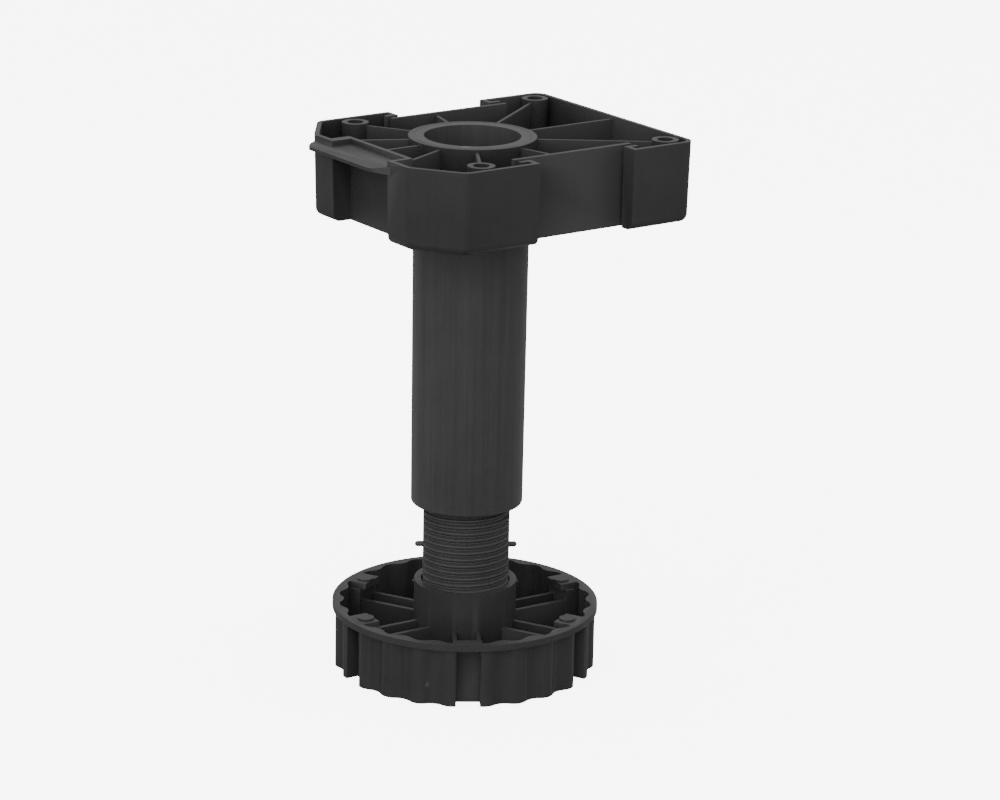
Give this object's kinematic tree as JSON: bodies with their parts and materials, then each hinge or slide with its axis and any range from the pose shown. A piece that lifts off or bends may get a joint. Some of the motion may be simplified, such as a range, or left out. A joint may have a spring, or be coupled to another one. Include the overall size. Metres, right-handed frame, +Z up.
{
  "type": "adjustable cabinet leg",
  "caption": "Adjustable cabinet leg: an open ribbed screw-on head with side slots and a lip, a plain round tube, and a threaded spindle on a round fluted foot.",
  "frame": {"origin": "on the leg's axis, at the underside of the foot", "axes": "+Z up the leg to the cabinet; +X along the head, away from the lip; +Y to the left when looking along +X"},
  "size_m": [0.0583, 0.0492, 0.1],
  "materials": {
    "head_plastic": "moulded, satin",
    "tube_plastic": "moulded, satin",
    "spindle_plastic": "moulded, satin",
    "foot_plastic": "moulded, satin"
  },
  "bodies": {
    "head": {"head": "head_plastic"},
    "tube": {"leg_tube": "tube_plastic"},
    "foot": {"spindle": "spindle_plastic", "foot": "foot_plastic"}
  },
  "joints": [
    {"name": "foot_turn", "type": "hinge", "parent": "head", "child": "tube", "pos_m": [0, 0, 0.0585], "axis": [0, 0, 1], "range_deg": [-5184, 2880]},
    {"name": "foot_height", "type": "slide", "parent": "tube", "child": "foot", "axis": [0, 0, 1], "range_m": [-0.018, 0.01]}
  ],
  "couplings": [
    {"joint": "foot_height", "follows": "foot_turn", "m_per_rad": 0.00019894}
  ]
}
